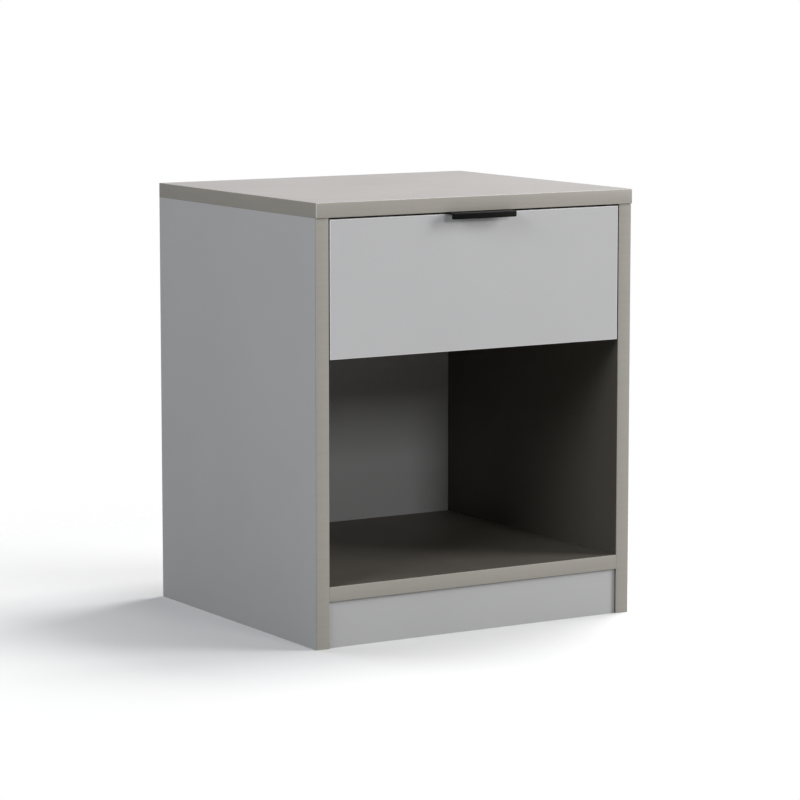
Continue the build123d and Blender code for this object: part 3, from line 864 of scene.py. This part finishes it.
def make_band(node, outward, finish, round_ends):
    """One edge band: its outer arrises are rounded, and on bands with round ends the faces that
    don't look outward carry a near-white painted highlight.
    """
    low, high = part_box(node)
    arris = setting("sizes").arris
    outward = Vector(outward)
    size = high - low
    length_axis = max(range(3), key=lambda i: size[i])
    outer = max(low.dot(outward), high.dot(outward))
    strip = block(f"{node}_strip", low, high)

    def on_arris(first, second):
        on_face = min(first.dot(outward), second.dot(outward)) > outer - HAIR
        runs_along = abs(first[length_axis] - second[length_axis]) > size[length_axis] / 2
        return on_face and (runs_along or round_ends)

    round_edges(strip, on_arris, arris)
    smooth(strip)
    strip.data.materials.append(material(finish))
    # Painted highlight: a second, near-white material for the cut faces. On the case it goes only
    # at the ends; on the drawer front it runs all along.
    if round_ends:
        strip.data.materials.append(material(f"scraped_{finish}"))
    first_end = low[length_axis] + 1.2 * arris
    second_end = high[length_axis] - 1.2 * arris
    for face in strip.data.polygons:
        at_end = not first_end < face.center[length_axis] < second_end
        cut = abs(face.normal.dot(outward)) < 0.97
        face.material_index = int(round_ends and cut and (at_end or finish == "cool_band"))
    stand_for(strip, node)


def cover_board(node, *values, **options):
    """Give a CAD board its particle board and decor."""
    cover(frame["nodes"][node], board_material(f"{node}_board", node, *values, **options))


def cover_thin_board(node, axis, lacquer_low):
    """Give a thin CAD board its hardboard."""
    made = thin_board_material(f"{node}_hardboard", node, axis, lacquer_low)
    cover(frame["nodes"][node], made)


class SIDETABLE_OT_case_boards(bpy.types.Operator):
    """Finish the boards of the case: warm top, inside darkened as painted shade, cool outer sides
    and plinth
    """

    bl_idname = "side_table.case_boards"
    bl_label = "Case Boards"

    def execute(self, context):
        colors = setting("colors")
        warm, cool = tuple(colors.warm_board), tuple(colors.cool_board)
        inner = tuple(colors.inner_board_painted_shade)
        # Painted shade: the side panels' inner faces are a still darker copy of the inner decor.
        shaded = dimmed(inner, 0.78)
        # Painted shade: the plinth, low under the shelf, is a darker copy of the cool decor.
        plinth_painted_shade = dimmed(cool, 0.95)
        boards = {
            "top_panel": ("Z", inner, warm, 0.10),
            "left_side_panel": ("X", cool, shaded, 0.0),
            "right_side_panel": ("X", shaded, cool, 0.0),
            "bottom_shelf": ("Z", inner, inner, 0.05),
            "plinth": ("Y", plinth_painted_shade, plinth_painted_shade, 0.0),
        }
        for node, (axis, low, high, dust) in boards.items():
            cover_board(node, axis, low, high, dust=dust)
        cover_thin_board("back_panel", "Y", lacquer_low=True)
        return {"FINISHED"}


class SIDETABLE_OT_drawer_boards(bpy.types.Operator):
    """Finish the boards of the drawer: cool front, foiled sides and back, lacquered bottom"""

    bl_idname = "side_table.drawer_boards"
    bl_label = "Drawer Boards"

    def execute(self, context):
        colors = setting("colors")
        cool, foil = tuple(colors.cool_board), tuple(colors.foil)
        boards = {
            "drawer_front": ("Y", cool, False),
            "drawer_left_side": ("X", foil, True),
            "drawer_right_side": ("X", foil, True),
            "drawer_back": ("Y", foil, True),
        }
        for node, (axis, color, capped) in boards.items():
            cover_board(node, axis, color, color, capped=capped)
        cover_thin_board("drawer_bottom", "Z", lacquer_low=False)
        return {"FINISHED"}


class SIDETABLE_OT_edge_bands(bpy.types.Operator):
    """Make the plastic edge bands with their rounded arrises"""

    bl_idname = "side_table.edge_bands"
    bl_label = "Edge Bands"

    def execute(self, context):
        for node, (outward, finish, round_ends) in BANDS.items():
            make_band(node, outward, finish, round_ends)
        return {"FINISHED"}


class SIDETABLE_OT_pull(bpy.types.Operator):
    """Fold the edge pull over the drawer front: lip, plate and tail"""

    bl_idname = "side_table.pull"
    bl_label = "Edge Pull"

    def execute(self, context):
        sizes = setting("sizes")
        sheet = sizes.pull_sheet
        low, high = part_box("drawer_pull")
        pull = block("edge_pull", (low.x, low.y, high.z - sheet), high)
        pick_all(pull)
        for place in (low.y + sheet, high.y - sheet):
            bpy.ops.mesh.select_all(action="SELECT")
            bpy.ops.mesh.bisect(plane_co=(0, place, high.z), plane_no=(0, 1, 0))
        leave_edit()
        lip_drop = sizes.pull_lip - sheet
        tail_drop = high.z - sheet - low.z
        pick_faces(pull, lambda centre, normal: normal.z < -0.9 and centre.y < low.y + sheet)
        extrude((0, 0, -lip_drop))
        leave_edit()
        pick_faces(pull, lambda centre, normal: normal.z < -0.9 and centre.y > high.y - sheet)
        extrude((0, 0, -tail_drop))
        leave_edit()

        def outer_bend(first, second):
            level = min(first.z, second.z) > high.z - NEAR
            across = abs(first.x - second.x) > (high.x - low.x) / 2
            edge = first.y < low.y + NEAR or first.y > high.y - NEAR
            return level and across and edge

        def lower_corner(first, second):
            through = abs(first.y - second.y) > sheet / 2
            bottom = max(first.z, second.z) < high.z - sheet - NEAR
            return through and bottom and abs(first.x - second.x) < NEAR

        round_edges(pull, lower_corner, sizes.pull_corner, 6)
        round_edges(pull, outer_bend, sizes.pull_bend, 6)
        soften(pull, 0.22 * MM, 2, 50)
        smooth(pull, 40)
        stand_for(pull, "drawer_pull", "black_powder_coat")
        return {"FINISHED"}


def sheet_strip(name, x, y_span, z_span):
    """A flat sheet that stands upright at one place across the table."""
    middle = (x, sum(y_span) / 2, sum(z_span) / 2)
    upright = (0, math.pi / 2, 0)
    obj = add(bpy.ops.mesh.primitive_plane_add, name, size=1.0, location=middle, rotation=upright)
    obj.scale = (z_span[1] - z_span[0], y_span[1] - y_span[0], 1.0)
    apply_place(obj)
    return obj


def fold_out(obj, x, z, reach):
    """Extrude the edge of a sheet that runs backwards at one place sideways into a flange."""

    def at_fold(first, second):
        off = max(abs(first.z - z), abs(second.z - z), abs(first.x - x), abs(second.x - x))
        return off < NEAR < abs(first.y - second.y)

    pick_edges(obj, at_fold)
    extrude((reach, 0, 0))
    leave_edit()


def face_away(obj, x, direction):
    """Point the faces of an open sheet so that its web looks in a direction along X."""
    pick_all(obj)
    bpy.ops.mesh.normals_make_consistent(inside=False)
    leave_edit()
    upright = [face for face in obj.data.polygons if abs(face.center.x - x) < NEAR]
    web = max(upright, key=lambda face: face.area)
    if web.normal.x * direction < 0:
        pick_all(obj)
        bpy.ops.mesh.flip_normals()
        leave_edit()


def thicken(obj, thickness):
    """Give a sheet its thickness, behind the faces that it shows."""
    modify(obj, "SOLIDIFY", thickness=thickness, offset=-1.0, use_even_offset=True)


def pierce(obj, x, sign, steps, start, level):
    """Punch a row of round holes through a web, at steps of the hole pitch from its front end."""
    reach = 3 * MM
    for step in steps:
        base = (x - sign * reach, start + HOLE_PITCH * step, level)
        carve(obj, drum("punch", base, (sign, 0, 0), HOLE_RADIUS, 2 * reach, 24))


class SIDETABLE_OT_rails(bpy.types.Operator):
    """Roll the slide rails from sheet: channels on the case, stepped rails under the drawer"""

    bl_idname = "side_table.rails"
    bl_label = "Slide Rails"

    def execute(self, context):
        for side, sign in SIDES.items():
            self.case_rail(side, sign)
            self.drawer_rail(side, sign)
        return {"FINISHED"}

    def case_rail(self, side, sign):
        sizes = setting("sizes")
        node = f"{side}_case_rail"
        low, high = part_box(node)
        back, mouth = (high.x, low.x) if sign > 0 else (low.x, high.x)
        rail = sheet_strip(f"{side}_case_channel", back, (low.y, high.y), (low.z, high.z))
        for level in (low.z, high.z):
            fold_out(rail, back, level, mouth - back)
        pick_all(rail)
        window = low.y + sizes.roller_window
        bpy.ops.mesh.bisect(plane_co=(0, window, 0), plane_no=(0, 1, 0))
        leave_edit()

        def over_window(centre, normal):
            return abs(normal.z) > 0.9 and centre.z > high.z - MM and centre.y < window

        pick_faces(rail, over_window)
        bpy.ops.mesh.delete(type="FACE")
        leave_edit()
        face_away(rail, back, sign)

        def is_bend(first, second):
            at_back = max(abs(first.x - back), abs(second.x - back)) < NEAR
            lengthwise = abs(first.z - second.z) < NEAR and abs(first.y - second.y) > MM
            has_flange = first.z < low.z + MM or min(first.y, second.y) > window - NEAR
            return at_back and lengthwise and has_flange

        round_edges(rail, is_bend, CASE_RAIL_BEND, 5)
        thicken(rail, sizes.rail_sheet)
        tidy_mesh(rail)
        pierce(rail, back, sign, CASE_RAIL_HOLES, low.y, (low.z + high.z) / 2)
        soften(rail, BURR, 2, 60)
        lug = block("stop_lug", *self.stop_box(node, mouth))
        soften(lug, 0.9 * MM, 4, 60)
        rail = join(f"{side}_case_channel", [rail, lug])
        smooth(rail)
        stand_for(rail, node, "white_epoxy")

    def stop_box(self, node, mouth):
        """The stop lug's box, read from the CAD rail's points at its mouth between the flanges."""
        low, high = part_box(node)
        sheet = setting("sizes").rail_sheet
        sunk = 0.1 * MM
        floor, ceiling = low.z + sheet + MM, high.z - sheet - MM
        points = [point.co for point in frame["nodes"][node].data.vertices]
        points = [p for p in points if floor < p.z < ceiling and abs(p.x - mouth) < NEAR]
        lug_low = (low.x, min(p.y for p in points), low.z + sheet - sunk)
        lug_high = (high.x, max(p.y for p in points), max(p.z for p in points))
        return lug_low, lug_high

    def drawer_rail(self, side, sign):
        node = f"{side}_drawer_rail"
        low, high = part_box(node)
        side_low, side_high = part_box(f"drawer_{side}_side")
        face, inner = (side_high.x, side_low.x) if sign > 0 else (side_low.x, side_high.x)
        tip = high.x if sign > 0 else low.x
        rail = sheet_strip(f"{side}_drawer_step", face, (low.y, high.y), (side_low.z, high.z))
        fold_out(rail, face, side_low.z, inner - face)
        fold_out(rail, face, high.z, tip - face)
        face_away(rail, face, -sign)

        def is_bend(first, second):
            at_web = max(abs(first.x - face), abs(second.x - face)) < NEAR
            return at_web and min(first.z, second.z) > high.z - NEAR

        round_edges(rail, is_bend, DRAWER_RAIL_BEND, 5)
        thicken(rail, setting("sizes").rail_sheet)
        tidy_mesh(rail)
        pierce(rail, face, sign, DRAWER_RAIL_HOLES, low.y, side_low.z + DRAWER_HOLE_LEVEL)
        soften(rail, BURR, 2, 60)
        smooth(rail)
        stand_for(rail, node, "white_epoxy")


def head_pattern(name, radius, height, shank, length, recess, pointed):
    """A fastener upright at the origin: a domed head and a shank, flat-ended or pointed."""
    head = drum(name, (0, 0, 0), (0, 0, 1), radius, height, 36)
    crown = height - HAIR
    round_edges(head, lambda a, b: min(a.z, b.z) > crown, min(height, radius) * 0.62, 5)
    pick_faces(head, lambda centre, normal: normal.z < -0.9)
    bpy.ops.mesh.inset(thickness=radius - shank)
    point = shank if pointed else 0.0
    extrude((0, 0, -(length - point)))
    if pointed:
        bpy.ops.mesh.inset(thickness=shank * 0.7)
        bpy.ops.transform.translate(value=(0, 0, -point))
    leave_edit()
    if recess:
        slot, reach, sink = 0.35 * MM, radius * 0.52, height * 0.6
        carve(head, block("slot", (-reach, -slot, height - sink), (reach, slot, height + MM)))
        carve(head, block("slot", (-slot, -reach, height - sink), (slot, reach, height + MM)))
    smooth(head, 30)
    return head


def fasten(node, heading, shape, suffix):
    """Replace the fasteners of one CAD node, each at its own solid's place, by detailed ones."""
    boxes = shells(node)
    direction = Vector(heading(boxes[0]))
    span = max(abs((high - low).dot(direction)) for low, high in boxes)
    radius, height, shank = shape
    recess, pointed = suffix == "cross", suffix != "riveted"
    pattern = head_pattern("pattern", radius, height, shank, span - height, recess, pointed)
    made = []
    for low, high in boxes:
        direction = Vector(heading((low, high)))
        base = (low + high) / 2 + direction * (span / 2 - height)
        made.append(copy_to(pattern, base, direction))
    bpy.data.objects.remove(pattern)
    stand_for(join(f"{node}_{suffix}", made), node, "zinc_plate")


def backward(box):
    """Heads at the back."""
    return (0, 1, 0)


def downward(box):
    """Heads below."""
    return (0, 0, -1)


def towards_middle(box):
    """Heads on the side of the table's middle."""
    return (-1, 0, 0) if box[0].x + box[1].x > 0 else (1, 0, 0)


def away_from_middle(box):
    """Heads on the side of the nearer side panel."""
    return (1, 0, 0) if box[0].x + box[1].x > 0 else (-1, 0, 0)


FASTENERS = {
    "pull_screws": (backward, SCREW_SHAPE, "cross"),
    "case_rail_screws": (towards_middle, SCREW_SHAPE, "cross"),
    "drawer_rail_screws": (away_from_middle, SCREW_SHAPE, "cross"),
    "drawer_back_screws": (away_from_middle, SCREW_SHAPE, "cross"),
    "back_panel_nails": (backward, NAIL_SHAPE, "nailed"),
    "drawer_bottom_nails": (downward, NAIL_SHAPE, "nailed"),
    "case_roller_rivets": (towards_middle, RIVET_SHAPE, "riveted"),
    "drawer_roller_rivets": (away_from_middle, RIVET_SHAPE, "riveted"),
}
HIDDEN = {
    "cam_locks": "cast_zinc",
    "drawer_cam_locks": "cast_zinc",
    "cam_bolts": "zinc_plate",
    "drawer_cam_bolts": "zinc_plate",
    "wood_dowels": "beech",
    "drawer_dowels": "beech",
}


class SIDETABLE_OT_fasteners(bpy.types.Operator):
    """Make the screws, nails and rivets, and finish the hidden cams, bolts and dowels"""

    bl_idname = "side_table.fasteners"
    bl_label = "Fasteners"

    def execute(self, context):
        for node, values in FASTENERS.items():
            fasten(node, *values)
        for node, finish in HIDDEN.items():
            cover(frame["nodes"][node], material(finish))
        return {"FINISHED"}


class SIDETABLE_OT_rollers(bpy.types.Operator):
    """Mould the nylon rollers: tread, grooved face with drain holes, hub, bore and boss"""

    bl_idname = "side_table.rollers"
    bl_label = "Rollers"

    def execute(self, context):
        pattern = self.pattern()
        for side, sign in SIDES.items():
            for end, out in (("front", -sign), ("rear", sign)):
                node = f"{side}_{end}_roller"
                low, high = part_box(node)
                middle = (low + high) / 2
                base = Vector((low.x if out > 0 else high.x, middle.y, middle.z))
                wheel = copy_to(pattern, base, (out, 0, 0))
                name_it(wheel, f"{node}_wheel")
                smooth(wheel, 32)
                stand_for(wheel, node, "white_nylon")
        bpy.data.objects.remove(pattern)
        return {"FINISHED"}

    def pattern(self):
        """One roller upright at the origin, its boss at the bottom."""
        low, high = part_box("left_front_roller")
        radius = (high.y - low.y) / 2
        length = high.x - low.x
        boss, boss_radius = 2.1 * MM, 4.5 * MM
        rim, groove, hub = 1.3 * MM, 0.5 * MM, 5.5 * MM
        recess, recess_depth = 4.3 * MM, 1.1 * MM
        drains, drain_radius = 6, 0.62 * MM
        wheel = drum("roller_pattern", (0, 0, boss), (0, 0, 1), radius, length - boss, 72)
        pick_faces(wheel, lambda centre, normal: normal.z > 0.9)
        bpy.ops.mesh.inset(thickness=rim)
        extrude((0, 0, -groove))
        bpy.ops.mesh.inset(thickness=radius - rim - hub)
        extrude((0, 0, groove))
        bpy.ops.mesh.inset(thickness=hub - recess)
        extrude((0, 0, -recess_depth))
        leave_edit()
        pick_faces(wheel, lambda centre, normal: normal.z < -0.9)
        bpy.ops.mesh.inset(thickness=radius - boss_radius)
        extrude((0, 0, -boss))
        leave_edit()
        start, up, through = -length / 2, (0, 0, 1), 2 * length
        carve(wheel, drum("bore", (0, 0, start), up, setting("sizes").rivet, through, 36))
        ring = (radius - rim + hub) / 2
        for step in range(drains):
            angle = math.tau * step / drains
            spot = (ring * math.cos(angle), ring * math.sin(angle), start)
            carve(wheel, drum("drain", spot, up, drain_radius, through, 12))
        soften(wheel, BURR, 2, 50)
        return wheel


def away_along(turn, rise):
    """The direction that lies some way round to the right of the front, and some way up."""
    level = math.cos(rise)
    return Vector((math.sin(turn) * level, -math.cos(turn) * level, math.sin(rise)))


class SIDETABLE_OT_stage(bpy.types.Operator):
    """Set the floor, the lights, the surroundings and the camera"""

    bl_idname = "side_table.stage"
    bl_label = "Stage"

    def execute(self, context):
        values = setting("stage")
        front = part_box("left_side_edge_band")[0].y
        aim = Vector(values.aim) + Vector((0, front, 0))
        self.floor()
        for name, light in LIGHTS.items():
            self.softbox(name, aim, getattr(values, f"{name}_power"), *light)
        self.surroundings(values.ambient)
        self.camera(values, aim)
        bpy.context.scene.view_settings.view_transform = "Standard"
        return {"FINISHED"}

    def floor(self):
        """A plain pale floor that melts into the white surroundings and isn't seen from below."""
        floor = add(bpy.ops.mesh.primitive_plane_add, "studio_floor", size=12.0, location=(0, 0, 0))
        finish = Finish("studio_floor_paper", Specular_IOR_Level=0.0)
        tree = finish.tree
        seen = add_node(tree, "LightPath").outputs["Is Camera Ray"]
        tone = spread(tree, noise(tree, finish.place, 3.0, 2.0), 0.3, 0.7, 0.985, 1.0)
        paper = brighten(tree, FLOOR_SEEN, tone)
        reach = add_node(tree, "VectorMath", {0: finish.place}, operation="LENGTH")
        melted = spread(tree, reach.outputs["Value"], FLOOR_SOLID, FLOOR_GONE)
        underneath = add_node(tree, "NewGeometry").outputs["Backfacing"]
        melted = maths(tree, "MAXIMUM", melted, underneath)
        solid = spread(tree, product(tree, seen, melted), 0.0, 1.0, 1.0, 0.0)
        fill(tree, finish.surface.inputs["Alpha"], solid)
        cover(floor, finish.connect(blend_colors(tree, seen, FLOOR_BOUNCE, paper), 0.9))

    def aimed(self, operator, name, aim, away, distance, **values):
        """Add a light or a camera that looks at the aim from a distance."""
        turn = away.to_track_quat("Z", "Y").to_euler()
        return add(operator, name, location=aim + away * distance, rotation=turn, **values)

    def softbox(self, name, aim, power, heading, distance, size, color):
        """An area light that faces the table."""
        away = away_along(*map(math.radians, heading))
        adder = bpy.ops.object.light_add
        light = self.aimed(adder, f"{name}_light", aim, away, distance, type="AREA")
        light.data.shape = "RECTANGLE"
        light.data.size, light.data.size_y = size
        light.data.energy = power
        light.data.color = color
        light.visible_camera = False

    def surroundings(self, strength):
        """White to the camera all round, and only a faint light on the table."""
        world = bpy.data.worlds.new("studio_surroundings")
        bpy.context.scene.world = world
        world.use_nodes = True
        tree = world.node_tree
        tree.nodes.clear()
        seen = add_node(tree, "LightPath").outputs["Is Camera Ray"]
        level = spread(tree, seen, 0.0, 1.0, strength, 1.0)
        backdrop = add_node(tree, "Background", {"Color": NEUTRAL, "Strength": level})
        output = tree.nodes.new("ShaderNodeOutputWorld")
        tree.links.new(backdrop.outputs[0], output.inputs[0])

    def camera(self, values, aim):
        """A long lens, a little above the table and round to its left."""
        away = away_along(-values.azimuth, values.elevation)
        adder = bpy.ops.object.camera_add
        camera = self.aimed(adder, "table_camera", aim, away, values.distance)
        camera.data.sensor_width = 36.0
        camera.data.lens = values.lens
        camera.data.clip_end = 50.0
        bpy.context.scene.camera = camera


OPERATORS = (
    SIDETABLE_OT_case_boards,
    SIDETABLE_OT_drawer_boards,
    SIDETABLE_OT_edge_bands,
    SIDETABLE_OT_pull,
    SIDETABLE_OT_rails,
    SIDETABLE_OT_rollers,
    SIDETABLE_OT_fasteners,
    SIDETABLE_OT_stage,
)


class SIDETABLE_PT_panel(bpy.types.Panel):
    """The table's settings and the steps that build it"""

    bl_idname = "SIDETABLE_PT_panel"
    bl_label = "Side Table"
    bl_space_type = "VIEW_3D"
    bl_region_type = "UI"
    bl_category = "Side Table"

    def draw(self, context):
        for group, kind in GROUPS.items():
            box = self.layout.box()
            box.label(text=kind.__doc__)
            for key in kind.__annotations__:
                box.prop(getattr(context.scene, f"side_table_{group}"), key)
        for operator in OPERATORS:
            self.layout.operator(operator.bl_idname)


CLASSES = (*GROUPS.values(), *OPERATORS, SIDETABLE_PT_panel)


def register():
    """Register the classes and hang the settings on the scene."""
    for kind in CLASSES:
        bpy.utils.register_class(kind)
    for group, kind in GROUPS.items():
        setattr(bpy.types.Scene, f"side_table_{group}", bpy.props.PointerProperty(type=kind))


def unregister():
    """Take the settings off the scene and unregister the classes."""
    for group in GROUPS:
        delattr(bpy.types.Scene, f"side_table_{group}")
    for kind in reversed(CLASSES):
        bpy.utils.unregister_class(kind)


def main():
    """Build every piece in order."""
    register()
    for operator in OPERATORS:
        family, action = operator.bl_idname.split(".")
        getattr(getattr(bpy.ops, family), action)()


if __name__ == "__main__":
    main()
